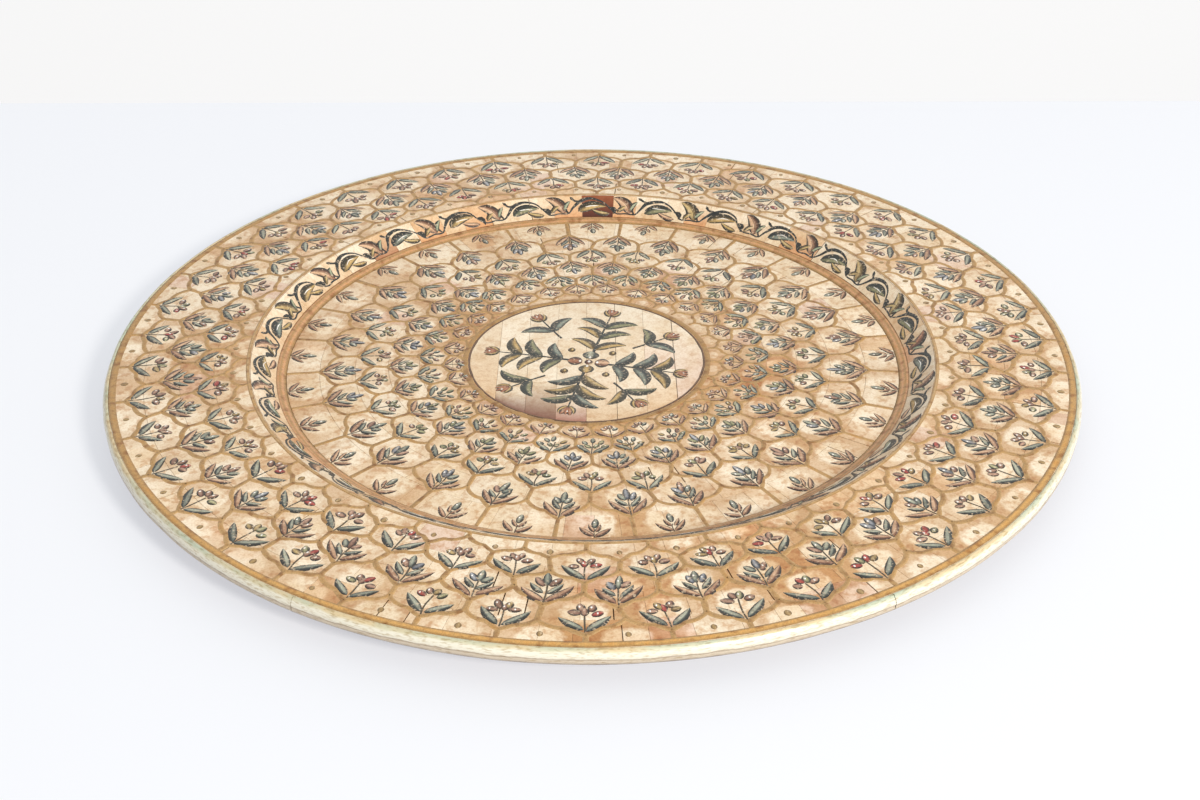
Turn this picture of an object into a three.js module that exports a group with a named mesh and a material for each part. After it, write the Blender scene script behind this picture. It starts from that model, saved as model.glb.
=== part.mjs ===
// Round dished tray: a turned wooden core, faced on top with thin bone veneer and edged with a
// rounded binding strip. Every veneer field is laid in separate pieces with an open joint between
// them, and nothing in the tray moves.
import * as THREE from 'three';

// Driving dimensions, in millimetres. The tray rests on Z = 0 and is centred on the Z axis.
const OUTER_RADIUS = 305;
const BOARD_THICKNESS = 9.7;
const WELL_DEPTH = 13.5;
const VENEER = 1.5;
const GAP = 0.3;

// Radii of the top side, from the rim inwards
const BINDING_WIDTH = 3.7;
const WALL_TOP_RADIUS = 216.5;
const WALL_FOOT_RADIUS = 201;
const BEAD_WIDTH = 5.5;
const BEAD_HEIGHT = 2.3;
const MEDALLION_RADIUS = 75.2;
const MEDALLION_CENTRE = new THREE.Vector2(-4.1, -3.9);

// Underside: the foot that the tray stands on, and the cove that carries the rim
const FOOT_RADIUS = 204;
const FOOT_CHAMFER = 1.5;
const COVE_RADIUS = 223;

// Joints between neighbouring pieces of one field
const JOINT = 0.4;

// How many pieces each field has, and how finely each one follows its circle
const BINDING_PIECES = 6;
const BINDING_STEPS = 16;
const RIM_PIECES = 22;
const RIM_STEPS = 6;
const WALL_PIECES = 8;
const WALL_STEPS = 12;
const FLOOR_PIECES = 14;
const FLOOR_STEPS = 8;
const MEDALLION_STRIPS = 8;
const STRIP_STEPS = 6;
const TURNING_STEPS = 96;

// Heights that follow from the driving dimensions
const FLOOR_TOP = BOARD_THICKNESS;
const RIM_TOP = FLOOR_TOP + WELL_DEPTH;
const RIM_UNDERSIDE = RIM_TOP - BOARD_THICKNESS;
const CORE_FLOOR = FLOOR_TOP - VENEER - GAP;
const CORE_RIM = RIM_TOP - VENEER - GAP;
const WALL_FOOT_HEIGHT = FLOOR_TOP + BEAD_HEIGHT;
const BINDING_INNER = OUTER_RADIUS - BINDING_WIDTH;
const CORE_EDGE = BINDING_INNER - GAP;
const BEAD_INNER = WALL_FOOT_RADIUS - BEAD_WIDTH;

const FULL_TURN = 2 * Math.PI;

const tray = new THREE.Group();

// Turned wood, the rounded edge strip, polished bone and the gilt bead
function woodMaterial() {
  return new THREE.MeshStandardMaterial({ color: 0x8a5a38, roughness: 0.7, metalness: 0 });
}

function bindingMaterial() {
  return new THREE.MeshStandardMaterial({ color: 0xd9d3bd, roughness: 0.45, metalness: 0 });
}

function giltMaterial() {
  return new THREE.MeshStandardMaterial({ color: 0xc08f4c, roughness: 0.5, metalness: 0.2 });
}

const BONE_TINTS = [0xf3e2c2, 0xe8cda3, 0xf0dcb8, 0xdcb88c, 0xf5e6ca];

function boneMaterial(index) {
  const tint = BONE_TINTS[index % BONE_TINTS.length];
  return new THREE.MeshStandardMaterial({ color: tint, roughness: 0.4, metalness: 0 });
}

function addPiece(name, geometry, material) {
  const mesh = new THREE.Mesh(geometry, material);
  mesh.name = name;
  tray.add(mesh);
}

// The wall line runs from the foot to the rim. wallOffset gives the radius of the line that lies
// `depth` under the wall's face, at a given height.
const WALL_RUN = WALL_TOP_RADIUS - WALL_FOOT_RADIUS;
const WALL_RISE = RIM_TOP - WALL_FOOT_HEIGHT;
const WALL_LENGTH = Math.hypot(WALL_RUN, WALL_RISE);

function wallRadius(height, depth) {
  const along = (height - WALL_FOOT_HEIGHT) * WALL_RUN / WALL_RISE;
  return WALL_FOOT_RADIUS + along + depth * WALL_LENGTH / WALL_RISE;
}

// A solid of revolution from an outline of [radius, height] points, listed anticlockwise
function turned(outline, steps) {
  const points = outline.map(([radius, height]) => new THREE.Vector2(radius, height));
  return new THREE.LatheGeometry(points, steps).rotateX(Math.PI / 2);
}

// A length of a ring: the convex section given by sectionAt(angle), listed anticlockwise as
// [radius, height] points, swept from one angle to another and closed at both ends
function arcLength(sectionAt, start, end, steps) {
  const positions = [];
  const indices = [];
  for (let step = 0; step <= steps; step += 1) {
    const angle = start + (end - start) * step / steps;
    for (const [radius, height] of sectionAt(angle)) {
      positions.push(radius * Math.cos(angle), radius * Math.sin(angle), height);
    }
  }
  const size = sectionAt(start).length;
  for (let step = 0; step < steps; step += 1) {
    for (let i = 0; i < size; i += 1) {
      const here = step * size + i;
      const next = step * size + (i + 1) % size;
      indices.push(here, here + size, next + size);
      indices.push(here, next + size, next);
    }
  }
  const last = steps * size;
  for (let i = 1; i < size - 1; i += 1) {
    indices.push(0, i, i + 1);
    indices.push(last, last + i + 1, last + i);
  }
  const geometry = new THREE.BufferGeometry();
  geometry.setAttribute('position', new THREE.Float32BufferAttribute(positions, 3));
  geometry.setIndex(indices);
  geometry.computeVertexNormals();
  return geometry;
}

// A field of equal lengths of one ring, with a joint between each two
function addRing(name, count, steps, sectionAt, jointRadius, materialAt) {
  const pitch = FULL_TURN / count;
  const halfJoint = JOINT / 2 / jointRadius;
  const digits = String(count).length;
  for (let i = 0; i < count; i += 1) {
    const start = i * pitch + halfJoint;
    const end = (i + 1) * pitch - halfJoint;
    const label = String(i + 1).padStart(digits, '0');
    addPiece(`${name}_${label}`, arcLength(sectionAt, start, end, steps), materialAt(i));
  }
}

// The wooden core, turned in one piece: foot, cove, rim board, wall and floor
function addCore() {
  const outline = [
    [0, 0],
    [FOOT_RADIUS, 0],
    [FOOT_RADIUS + FOOT_CHAMFER, FOOT_CHAMFER],
    [FOOT_RADIUS + 5, RIM_UNDERSIDE * 0.55],
    [FOOT_RADIUS + 11, RIM_UNDERSIDE * 0.86],
    [COVE_RADIUS, RIM_UNDERSIDE],
    [CORE_EDGE, RIM_UNDERSIDE],
    [CORE_EDGE, CORE_RIM],
    [wallRadius(CORE_RIM, VENEER + GAP), CORE_RIM],
    [wallRadius(CORE_FLOOR, VENEER + GAP), CORE_FLOOR],
    [0, CORE_FLOOR],
  ];
  addPiece('tray_core', turned(outline, TURNING_STEPS), woodMaterial());
}

// The rounded strip around the rim's edge, in lengths that meet end to end
function addBinding() {
  const section = [
    [BINDING_INNER, RIM_UNDERSIDE],
    [OUTER_RADIUS - 1.9, RIM_UNDERSIDE],
    [OUTER_RADIUS - 0.6, RIM_UNDERSIDE + 1.6],
    [OUTER_RADIUS, RIM_UNDERSIDE + 4.4],
    [OUTER_RADIUS - 0.4, RIM_TOP - 2.2],
    [OUTER_RADIUS - 1.6, RIM_TOP],
    [BINDING_INNER, RIM_TOP],
  ];
  addRing('edge_binding', BINDING_PIECES, BINDING_STEPS, () => section, OUTER_RADIUS, bindingMaterial);
}

// A flat slab section between two radii, with its top face at the given height
function slab(inner, outer, top) {
  return [[inner, top - VENEER], [outer, top - VENEER], [outer, top], [inner, top]];
}

function addRimVeneer() {
  const section = slab(WALL_TOP_RADIUS, BINDING_INNER - GAP, RIM_TOP);
  addRing('rim_veneer', RIM_PIECES, RIM_STEPS, () => section, WALL_TOP_RADIUS, boneMaterial);
}

// The sloping wall's veneer, which stops under the rim veneer at the top and over the bead
function addWallVeneer() {
  const foot = WALL_FOOT_HEIGHT + GAP;
  const head = RIM_TOP - VENEER - GAP;
  const section = [
    [wallRadius(foot, 0), foot],
    [wallRadius(foot, VENEER), foot],
    [wallRadius(head, VENEER), head],
    [wallRadius(head, 0), head],
  ];
  addRing('wall_veneer', WALL_PIECES, WALL_STEPS, () => section, WALL_FOOT_RADIUS, boneMaterial);
}

// The bead that covers the joint between the wall and the floor, in one turned ring
function addBead() {
  const back = wallRadius(CORE_FLOOR + GAP, VENEER + GAP) - 2 * GAP;
  const outline = [
    [BEAD_INNER, CORE_FLOOR + GAP],
    [back, CORE_FLOOR + GAP],
    [WALL_FOOT_RADIUS + VENEER, WALL_FOOT_HEIGHT],
    [WALL_FOOT_RADIUS - 1.2, WALL_FOOT_HEIGHT],
    [WALL_FOOT_RADIUS - 3.6, WALL_FOOT_HEIGHT - 0.8],
    [BEAD_INNER, FLOOR_TOP + 0.3],
  ];
  addPiece('wall_foot_bead', turned([...outline, outline[0]], TURNING_STEPS), giltMaterial());
}

// Distance from the tray's axis to the medallion's joint, which is a circle off the axis
function medallionJoint(angle) {
  const towards = MEDALLION_CENTRE.x * Math.cos(angle) + MEDALLION_CENTRE.y * Math.sin(angle);
  const radius = MEDALLION_RADIUS + JOINT;
  return towards + Math.sqrt(towards * towards - MEDALLION_CENTRE.lengthSq() + radius * radius);
}

function addFloorVeneer() {
  const sectionAt = (angle) => slab(medallionJoint(angle), BEAD_INNER - GAP, FLOOR_TOP);
  addRing('floor_veneer', FLOOR_PIECES, FLOOR_STEPS, sectionAt, MEDALLION_RADIUS, boneMaterial);
}

// One straight-sided strip of the medallion's disc, between two x positions
function stripShape(left, right) {
  const points = [];
  const edge = (x) => Math.sqrt(Math.max(0, MEDALLION_RADIUS ** 2 - x * x));
  for (let step = 0; step <= STRIP_STEPS; step += 1) {
    const x = left + (right - left) * step / STRIP_STEPS;
    points.push(new THREE.Vector2(x, -edge(x)));
  }
  for (let step = STRIP_STEPS; step >= 0; step -= 1) {
    const x = left + (right - left) * step / STRIP_STEPS;
    if (edge(x) > 0) {
      points.push(new THREE.Vector2(x, edge(x)));
    }
  }
  return new THREE.Shape(points);
}

function addMedallion() {
  const width = 2 * MEDALLION_RADIUS / MEDALLION_STRIPS;
  for (let i = 0; i < MEDALLION_STRIPS; i += 1) {
    const left = -MEDALLION_RADIUS + i * width + (i > 0 ? JOINT / 2 : 0);
    const right = -MEDALLION_RADIUS + (i + 1) * width - (i < MEDALLION_STRIPS - 1 ? JOINT / 2 : 0);
    const strip = new THREE.ExtrudeGeometry(stripShape(left, right), {
      depth: VENEER,
      bevelEnabled: false,
    });
    strip.translate(MEDALLION_CENTRE.x, MEDALLION_CENTRE.y, FLOOR_TOP - VENEER);
    addPiece(`medallion_strip_${i + 1}`, strip, boneMaterial(i));
  }
}

addCore();
addBinding();
addRimVeneer();
addWallVeneer();
addBead();
addFloorVeneer();
addMedallion();

export default tray;
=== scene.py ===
"""Round dished tray faced with painted bone: its visual model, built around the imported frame.

Shapes are drawn in millimetres, in a flat local plane with a height above it, and each one is
then placed on the rim, the wall, the floor or the medallion. Everything that is painted in
relief or cut from bone is a closed body.
"""

import math

import bpy
import numpy as np
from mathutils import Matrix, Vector


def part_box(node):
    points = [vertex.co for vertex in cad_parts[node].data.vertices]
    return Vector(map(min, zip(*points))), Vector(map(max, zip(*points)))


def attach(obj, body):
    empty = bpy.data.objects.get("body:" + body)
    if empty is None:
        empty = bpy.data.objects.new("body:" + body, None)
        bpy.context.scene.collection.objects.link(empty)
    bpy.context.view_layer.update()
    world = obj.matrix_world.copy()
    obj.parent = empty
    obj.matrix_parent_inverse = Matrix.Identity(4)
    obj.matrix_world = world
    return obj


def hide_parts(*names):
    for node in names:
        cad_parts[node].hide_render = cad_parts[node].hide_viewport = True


MM = 0.001
TURN = 2 * math.pi

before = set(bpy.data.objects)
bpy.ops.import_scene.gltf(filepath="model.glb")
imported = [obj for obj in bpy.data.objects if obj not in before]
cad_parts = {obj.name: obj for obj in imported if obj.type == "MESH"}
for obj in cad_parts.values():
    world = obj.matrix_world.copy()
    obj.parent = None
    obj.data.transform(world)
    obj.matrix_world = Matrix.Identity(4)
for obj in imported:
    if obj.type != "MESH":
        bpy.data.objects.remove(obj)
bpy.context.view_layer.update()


# -------- sizes taken from the frame

def span(node):
    """Smallest and largest radius, then lowest and highest point, of a CAD node in millimetres."""
    points = np.array([v.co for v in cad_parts[node].data.vertices]) / MM
    radius = np.hypot(points[:, 0], points[:, 1])
    return radius.min(), radius.max(), points[:, 2].min(), points[:, 2].max()


def names(stem):
    """The CAD nodes whose names start with stem, in order."""
    return sorted(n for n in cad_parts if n.startswith(stem))


RIM_NODES = names("rim_veneer")
WALL_NODES = names("wall_veneer")
FLOOR_NODES = names("floor_veneer")
STRIP_NODES = names("medallion_strip")
BINDING_NODES = names("edge_binding")

RIM_IN, RIM_OUT, _, RIM_TOP = span(RIM_NODES[0])
BEAD_IN, BEAD_OUT, _, BEAD_TOP = span("wall_foot_bead")
_, FLOOR_OUT, _, FLOOR_TOP = span(FLOOR_NODES[0])
_, OUTER, EDGE_LOW, _ = span(BINDING_NODES[0])
WALL_IN, _, WALL_LOW, _ = span(WALL_NODES[0])
_, CORE_OUT, _, CORE_TOP = span("tray_core")
WALL_SLOPE = math.atan2(RIM_TOP - WALL_LOW, RIM_IN - WALL_IN)
WALL_LENGTH = math.hypot(RIM_TOP - WALL_LOW, RIM_IN - WALL_IN)

strip_corners = np.array([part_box(n) for n in STRIP_NODES]) / MM
MEDALLION_X, MEDALLION_Y = (strip_corners[:, 0].min(0) + strip_corners[:, 1].max(0))[:2] / 2
MEDALLION_R = (strip_corners[:, 1, 0].max() - strip_corners[:, 0, 0].min()) / 2


# -------- colours

def srgb(red, green, blue):
    """Linear colour from 8-bit sRGB."""
    value = np.array([red, green, blue], float) / 255
    return np.where(value <= 0.04045, value / 12.92, ((value + 0.055) / 1.055) ** 2.4)


PALE = srgb(246, 233, 210)
CREAM = srgb(241, 224, 196)
TAN = srgb(230, 201, 163)
PINK = srgb(236, 212, 192)
UMBER = srgb(184, 134, 100)
DEEP = srgb(80, 40, 30)
SIENNA = srgb(152, 88, 54)
ORANGE = srgb(220, 168, 122)
PLUM = srgb(176, 122, 104)

INK = srgb(50, 48, 42)
SOFT_INK = srgb(66, 65, 58)
WARM_INK = srgb(82, 60, 48)
GILT = srgb(180, 142, 90)
GILT_EDGE = srgb(198, 163, 114)
# A brighter gilt for the border line's front: painted sheen.
GILT_FRONT_SHEEN = srgb(222, 172, 98)
SLATE = (srgb(54, 66, 66), srgb(188, 188, 164))
TEAL = (srgb(48, 62, 56), srgb(168, 174, 142))
RUSSET = (srgb(128, 80, 58), srgb(224, 184, 146))
GREEN = (srgb(66, 72, 50), srgb(196, 190, 144))
OLIVE = (srgb(104, 82, 46), srgb(206, 178, 122))
BLUE = (srgb(56, 62, 74), srgb(196, 196, 196))
BERRY = (srgb(98, 64, 50), srgb(206, 166, 140))
BUD = (srgb(104, 60, 42), srgb(184, 128, 94))
RED = (srgb(128, 44, 40), srgb(198, 98, 84))
MOSS = (srgb(52, 62, 56), srgb(150, 146, 108))
SEED = (srgb(96, 74, 44), srgb(170, 140, 92))
OCHRE = (srgb(84, 74, 48), srgb(204, 170, 108))
NIGHT = (srgb(46, 56, 58), srgb(146, 152, 136))
WHITE = (srgb(216, 208, 192), srgb(250, 247, 240))


# -------- places

def flat(top, x=0.0, y=0.0, turn=0.0):
    """Puts local points on a level face: turned, moved to (x, y), and lifted to top."""
    cos, sin = math.cos(turn), math.sin(turn)

    def place(p):
        return np.stack([
            x + p[..., 0] * cos - p[..., 1] * sin,
            y + p[..., 0] * sin + p[..., 1] * cos,
            top + p[..., 2],
        ], -1)
    return place


def facing_in(top, radius, angle):
    """A level place whose y axis points at the tray's middle."""
    return flat(top, radius * math.cos(angle), radius * math.sin(angle), angle + math.pi / 2)


def on_wall(angle):
    """A place on the sloping wall: x runs along it, seen from the middle, and y up the slope."""
    middle = (WALL_IN + RIM_IN) / 2
    cos, sin = math.cos(WALL_SLOPE), math.sin(WALL_SLOPE)

    def place(p):
        radius = WALL_IN + p[..., 1] * cos - p[..., 2] * sin
        theta = angle - p[..., 0] / middle
        height = WALL_LOW + p[..., 1] * sin + p[..., 2] * cos
        return np.stack([radius * np.cos(theta), radius * np.sin(theta), height], -1)
    return place


# -------- closed bodies

def linked(name, data):
    """A new object with that data, in the scene."""
    made = bpy.data.objects.new(name, data)
    bpy.context.scene.collection.objects.link(made)
    return made


class Layer:
    """Closed bodies gathered into one mesh, with a colour and a grime value at each point."""

    def __init__(self):
        self.points = []
        self.faces = []
        self.tints = []
        self.count = 0

    def add(self, rows, tints, ring=False):
        """rows holds one loop of points for each station along the body, as seen from above its
        left edge to its right edge. A ring joins its last station to its first."""
        stations, loop = rows.shape[:2]
        index = self.count + np.arange(stations * loop).reshape(stations, loop)
        ahead = np.roll(index, -1, axis=0) if ring else index[1:]
        here = index if ring else index[:-1]
        sides = np.stack([here, np.roll(here, -1, 1), np.roll(ahead, -1, 1), ahead], -1)
        self.faces.append(sides.reshape(-1, 4))
        if not ring:
            j = np.arange(loop // 2 - 1)
            cap = np.stack([j, j + 1, loop - 2 - j, loop - 1 - j], -1)
            self.faces += [index[0][cap[:, ::-1]], index[-1][cap]]
        self.points.append(rows.reshape(-1, 3))
        self.tints.append(np.broadcast_to(tints, (stations, loop, 4)).reshape(-1, 4))
        self.count += stations * loop

    def build(self, name, material, slot, replaced=(), sharp=50):
        """Makes the piece, which takes the place of the CAD nodes in replaced."""
        mesh = bpy.data.meshes.new(name)
        points = np.concatenate(self.points) * MM
        mesh.from_pydata(points.tolist(), [], np.concatenate(self.faces).tolist())
        paint = mesh.color_attributes.new("paint", "FLOAT_COLOR", "POINT")
        paint.data.foreach_set("color", np.concatenate(self.tints).astype(np.float32).ravel())
        mesh.shade_smooth()
        mesh.set_sharp_from_angle(angle=math.radians(sharp))
        mesh.materials.append(material)
        piece = linked(name, mesh)
        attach(piece, "root")
        if replaced:
            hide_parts(*replaced)


def tinted(colour, grime=0.0):
    """A colour with its grime value."""
    return np.append(colour, grime)


# A brush stroke's section from its left edge to its right one: place across it, height, how much
# of the ink shows, and how much of the dark fill.
SINK = -0.12
LEAF_SECTION = np.array([
    (-1.0, SINK, 1.0, 1.0), (-0.68, 0.22, 1.0, 1.0), (-0.46, 0.29, 0.0, 0.15), (-0.06, 0.36, 0.0, 0.0),
    (0.16, 0.35, 0.25, 0.75), (0.40, 0.31, 0.6, 1.0), (0.72, 0.20, 1.0, 1.0), (1.0, SINK, 1.0, 1.0),
])
BUD_SECTION = np.array([
    (-1.0, SINK, 1.0, 1.0), (-0.68, 0.22, 0.95, 1.0), (-0.44, 0.30, 0.0, 0.4), (-0.12, 0.38, 0.0, 0.0),
    (0.20, 0.36, 0.0, 0.4), (0.42, 0.30, 0.2, 0.9), (0.70, 0.20, 1.0, 1.0), (1.0, SINK, 1.0, 1.0),
])
CRESCENT_SECTION = np.array([
    (-1.0, SINK, 1.0, 1.0), (-0.80, 0.20, 0.9, 1.0), (-0.60, 0.30, 0.0, 0.3), (-0.34, 0.42, 0.0, 0.0),
    (-0.06, 0.46, 0.1, 0.6), (0.18, 0.42, 0.5, 1.0), (0.78, 0.22, 0.9, 1.0), (1.0, SINK, 1.0, 1.0),
])
LINE_SECTION = np.array([
    (-1.0, SINK, 1.0, 0.0), (-0.72, 0.14, 0.7, 0.0), (-0.25, 0.26, 0.0, 0.0),
    (0.25, 0.26, 0.0, 0.0), (0.72, 0.14, 0.7, 0.0), (1.0, SINK, 1.0, 0.0),
])


def stroke(layer, path, half_widths, section, inks, place, fade=1.0, lift=0.0, flip=False):
    """A closed stroke along path, half_widths wide to each side. inks is the edge colour and the
    dark and light fills. Where fade is 0 the dark fill covers it. lift raises its top, and flip
    puts its darker side on the left."""
    path = np.asarray(path, float)
    if flip:
        section = section[::-1] * (-1, 1, 1, 1)
    ahead = np.gradient(path, axis=0)
    ahead /= np.maximum(np.hypot(ahead[:, 0], ahead[:, 1]), 1e-9)[:, None]
    right = np.stack([ahead[:, 1], -ahead[:, 0]], -1)
    widths = np.broadcast_to(half_widths, len(path))
    across = section[None, :, 0, None] * widths[:, None, None] * right[:, None]
    low = np.minimum(1.0, widths / max(widths.max(), 1e-6) + 0.25)[:, None]
    height = np.where(section[None, :, 1] > 0, section[None, :, 1] * low + lift, section[None, :, 1])
    rows = np.concatenate([path[:, None] + across, height[..., None]], -1)
    edge, dark, light = inks
    clear = (1 - section[None, :, 3]) * np.broadcast_to(fade, len(path))[:, None]
    fill = dark + (light - dark) * clear[..., None]
    mix = section[None, :, 2, None]
    colour = fill * (1 - mix) + edge * mix
    tints = np.concatenate([colour, np.zeros(colour.shape[:2] + (1,))], -1)
    layer.add(place(rows), tints)


def curve(points, steps):
    """A smooth line through a few points (Catmull-Rom), with steps points in all."""
    knots = np.asarray(points, float)
    knots = np.vstack([2 * knots[0] - knots[1], knots, 2 * knots[-1] - knots[-2]])
    at = np.linspace(0, len(points) - 1, steps)
    first = np.minimum(at.astype(int), len(points) - 2)
    t = (at - first)[:, None]
    a, b, c, d = (knots[first + i] for i in range(4))
    return 0.5 * (2 * b + (c - a) * t + (2 * a - 5 * b + 4 * c - d) * t ** 2
                  + (3 * b - a - 3 * c + d) * t ** 3)


def leaf(layer, place, base, tip, width, inks, bend=0.0, fullness=0.75, steps=9, rib=0.0,
         section=LEAF_SECTION):
    """A pointed leaf from base to tip, bowed to its right by bend times its length and darker on
    that side, with a dark rib of that width."""
    base, tip = np.array(base, float), np.array(tip, float)
    along = tip - base
    right = np.array([along[1], -along[0]])
    t = np.linspace(0, 1, steps)
    path = base + along * t[:, None] + right * (bend * 4 * t * (1 - t))[:, None]
    half = width / 2 * np.sin(math.pi * t ** fullness) ** 0.7 + 0.12
    fade = np.clip(0.2 + 2.4 * t, 0, 1)
    stroke(layer, path, half, section, inks, place, fade, flip=bend < 0)
    if rib:
        inner = path[1:-2]
        thin = rib / 2 * np.linspace(1.1, 0.5, len(inner))
        stroke(layer, inner, thin, LINE_SECTION, (inks[0], inks[0], inks[1]), place, 0.2, lift=0.2)


def bud(layer, place, base, tip, width, inks, shine=True, steps=7):
    """A round or drop-shaped bud, with a small white light on it."""
    base, tip = np.array(base, float), np.array(tip, float)
    t = np.linspace(0, 1, steps)
    half = width / 2 * np.sin(math.pi * (0.06 + 0.9 * t)) ** 0.6
    stroke(layer, base + (tip - base) * t[:, None], half, BUD_SECTION, inks, place, np.clip(3 * t, 0, 1))
    if shine:
        centre = base * 0.4 + tip * 0.6 - (width * 0.12, 0)
        dot(layer, place, centre, width * 0.3, WHITE, lift=0.22)


def dot(layer, place, centre, size, pair, lift=0.0):
    """A small round dab of paint."""
    t = np.linspace(-1, 1, 6)
    path = np.array(centre, float) + np.stack([0 * t, t * size / 2], -1)
    half = size / 2 * np.sqrt(np.maximum(0.06, 1 - t * t))
    stroke(layer, path, half, LINE_SECTION, (pair[0], pair[0], pair[1]), place, lift=lift)


# -------- materials

def material(name):
    """A new node material, its shader, a function that adds and links nodes, and the socket of
    the object's own coordinates."""
    made = bpy.data.materials.new(name)
    made.use_nodes = True
    tree = made.node_tree

    def add(kind, links=(), **settings):
        node = tree.nodes.new(kind)
        for key, value in settings.items():
            setattr(node, key, value)
        for socket, source in dict(links).items():
            if isinstance(source, bpy.types.NodeSocket):
                tree.links.new(source, node.inputs[socket])
            else:
                node.inputs[socket].default_value = source
        return node

    where = add("ShaderNodeTexCoord").outputs["Object"]
    return made, tree.nodes["Principled BSDF"], add, where


def noise(add, where, scale, detail=4.0, stretch=(1, 1, 1)):
    """Noise over the object's own coordinates, from 0 to 1."""
    mapped = add("ShaderNodeMapping", {"Vector": where, "Scale": stretch})
    made = add("ShaderNodeTexNoise", {"Vector": mapped.outputs[0], "Scale": scale, "Detail": detail})
    return made.outputs[0]


def ramp(add, value, stops):
    """A colour ramp through (position, colour) stops."""
    node = add("ShaderNodeValToRGB", {"Fac": value})
    elements = node.color_ramp.elements
    while len(elements) < len(stops):
        elements.new(0.5)
    for element, (position, colour) in zip(elements, stops):
        element.position = position
        element.color = (*colour, 1.0)
    return node.outputs[0]


def mixed(add, kind, factor, first, second):
    """Two colours mixed, or multiplied, by factor."""
    node = add("ShaderNodeMix", data_type="RGBA", blend_type=kind)
    tree = node.id_data
    for socket, value in (("Factor_Float", factor), ("A_Color", first), ("B_Color", second)):
        target = next(s for s in node.inputs if s.identifier == socket)
        if isinstance(value, bpy.types.NodeSocket):
            tree.links.new(value, target)
        else:
            target.default_value = value if isinstance(value, float) else (*value, 1.0)
    return next(s for s in node.outputs if s.identifier == "Result_Color")


def grey(value):
    """A linear grey."""
    return (value, value, value)


WHOLE = grey(1.0)


def calc(add, operation, *values):
    """A sum on numbers."""
    return add("ShaderNodeMath", dict(enumerate(values)), operation=operation).outputs[0]


def remap(add, value, start, end, low=0.0, high=1.0):
    """Stretches start to end into low to high, and holds what lies past them."""
    limits = {"From Min": start, "From Max": end, "To Min": low, "To Max": high}
    return add("ShaderNodeMapRange", {"Value": value, **limits}).outputs[0]


def shaded(add, colour, amount, pattern, stops):
    """A colour multiplied, as far as amount, by a ramp over a pattern."""
    return mixed(add, "MULTIPLY", amount, colour, ramp(add, pattern, stops))


def finish_surface(add, shader, colour, rough, bump_from, bump_mm, strength=0.5):
    """Links the colour, a roughness range driven by a pattern, and a bump of bump_mm."""
    pattern, low, high = rough
    bump = add("ShaderNodeBump", {"Height": bump_from, "Distance": bump_mm * MM, "Strength": strength})
    sources = {"Base Color": colour, "Roughness": remap(add, pattern, 0.0, 1.0, low, high),
               "Normal": bump.outputs[0]}
    for socket, source in sources.items():
        shader.id_data.links.new(source, shader.inputs[socket])


def cell_height(add, where, lattice):
    """A smooth pattern over a lattice: 2.5 at the middle of each cell, and below 0 on its lines.
    Its second output is the row value."""
    axes = add("ShaderNodeSeparateXYZ", {"Vector": where}).outputs
    around = calc(add, "ARCTAN2", axes["Y"], axes["X"])
    square = calc(add, "MULTIPLY_ADD", axes["X"], axes["X"], calc(add, "MULTIPLY", axes["Y"], axes["Y"]))
    radius = calc(add, "MULTIPLY", calc(add, "SQRT", square), 1 / (lattice.first * MM))
    row = calc(add, "LOGARITHM", radius, lattice.ratio)
    u = calc(add, "MULTIPLY_ADD", around, float(lattice.count), -lattice.phase * TURN)
    v = calc(add, "MULTIPLY_ADD", row, math.pi, -0.5 * (1 + ARM) * math.pi)
    waves = calc(add, "MULTIPLY", calc(add, "COSINE", u), calc(add, "COSINE", v))
    rows = calc(add, "COSINE", calc(add, "MULTIPLY", v, 2.0))
    return calc(add, "MULTIPLY_ADD", waves, 2.0, calc(add, "MULTIPLY", rows, 0.5)), row


WASH = srgb(212, 179, 138)
GRIME = srgb(120, 88, 58)
# The level heading in which the wash grows thinner, from the front left to the back right. Part of the
# thinning is painted sheen: it lightens the far side as light glancing off it would.
WASH_AND_SHEEN_HEADING = (0.45, 0.89, 0.0)


def lattice_wash(add, where, lattice):
    """How much tan wash lies on a field: it keeps to the lattice's lines, with a ragged edge, and is
    heavier at the front left, inwards and round the medallion. Its thinning towards the back right is
    partly painted sheen on the far side. A few smears lie anywhere."""
    cells, row = cell_height(add, where, lattice)
    across = add("ShaderNodeVectorMath", {0: where, 1: WASH_AND_SHEEN_HEADING}, operation="DOT_PRODUCT")
    inward = remap(add, row, 1.6, 4.6, 0.0, lattice.inner_wash)
    # Less wash towards the back right: partly real wash, partly painted sheen on the far side.
    wash_and_sheen_slope = remap(add, across.outputs["Value"], 0.22, -0.26, -0.3, 0.18)
    broad = remap(add, noise(add, where, 11, 3), 0.36, 0.62, -0.15, 0.85)
    ragged = calc(add, "MULTIPLY_ADD", noise(add, where, 170, 5), 1.8, calc(add, "ADD", cells, -0.9))
    near = remap(add, calc(add, "MULTIPLY_ADD", inward, -2.0, ragged), 0.3, -0.4)
    amount = calc(add, "ADD", broad, calc(add, "ADD", inward, wash_and_sheen_slope))
    amount = calc(add, "MAXIMUM", calc(add, "MINIMUM", amount, 1.0), 0.0)
    centre = (MEDALLION_X * MM, MEDALLION_Y * MM, lattice.top * MM)
    reach = add("ShaderNodeVectorMath", {0: where, 1: centre}, operation="DISTANCE").outputs["Value"]
    around = remap(add, reach, (MEDALLION_R + 11) * MM, (MEDALLION_R + 3) * MM, 0.0, 0.85)
    smears = remap(add, noise(add, where, 17, 5), 0.57, 0.66, 0.0, 0.65)
    wash = calc(add, "MAXIMUM", calc(add, "MULTIPLY", near, amount), around)
    return calc(add, "MAXIMUM", wash, smears)


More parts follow.
